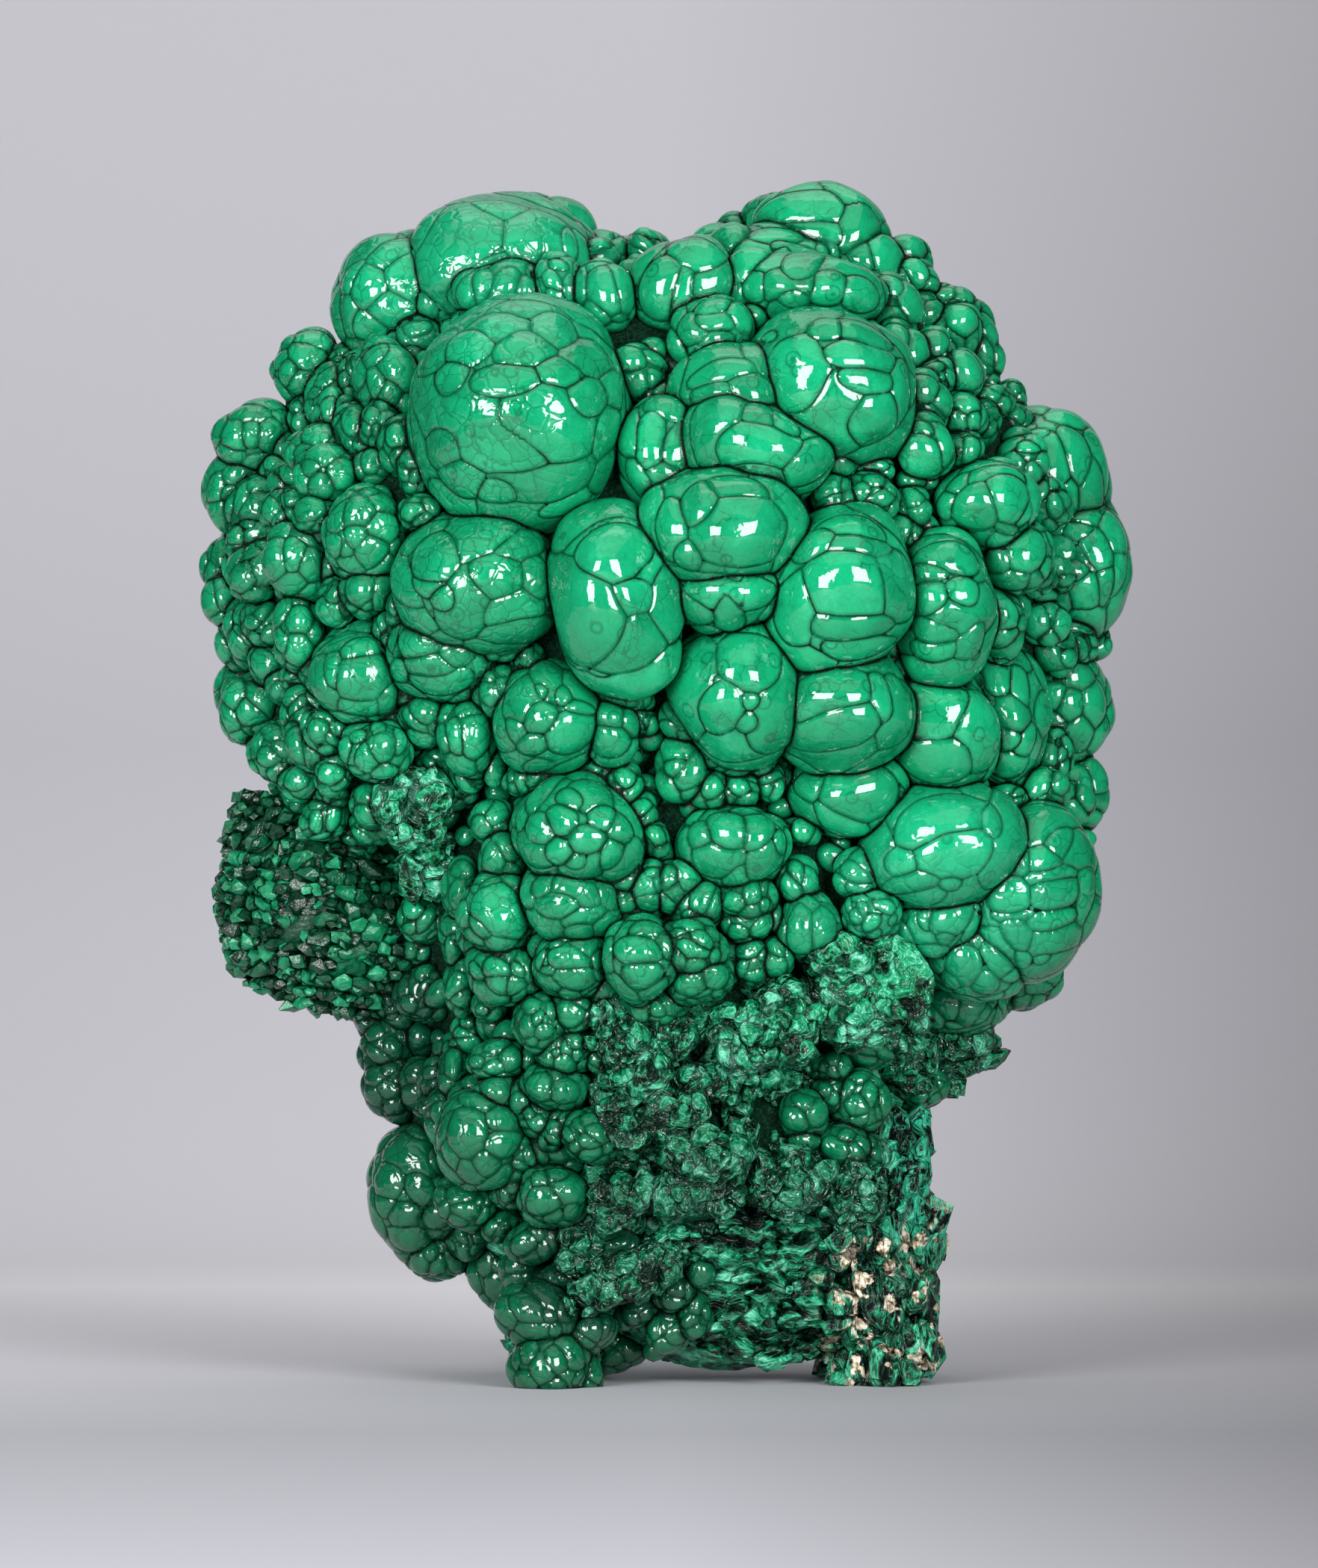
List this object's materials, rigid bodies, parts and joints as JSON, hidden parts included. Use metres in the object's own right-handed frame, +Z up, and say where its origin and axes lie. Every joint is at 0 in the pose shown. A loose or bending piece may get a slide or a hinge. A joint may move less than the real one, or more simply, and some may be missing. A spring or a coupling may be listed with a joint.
{
  "type": "malachite specimen",
  "caption": "Free-standing botryoidal malachite specimen: a broad mass of rounded green heads on a narrower broken stem, with a crumbly spur at one side and a rough matrix foot.",
  "frame": {"origin": "ground point under the middle of the specimen's outline; the feet are cut flat at z = 0", "axes": "+Z up through the height, +X to the specimen's right as seen from its display side, -Y towards the display side"},
  "size_m": [0.208, 0.1383, 0.267],
  "materials": {
    "malachite": "glossy"
  },
  "bodies": {
    "root": {"malachite_specimen": "malachite"}
  },
  "joints": []
}
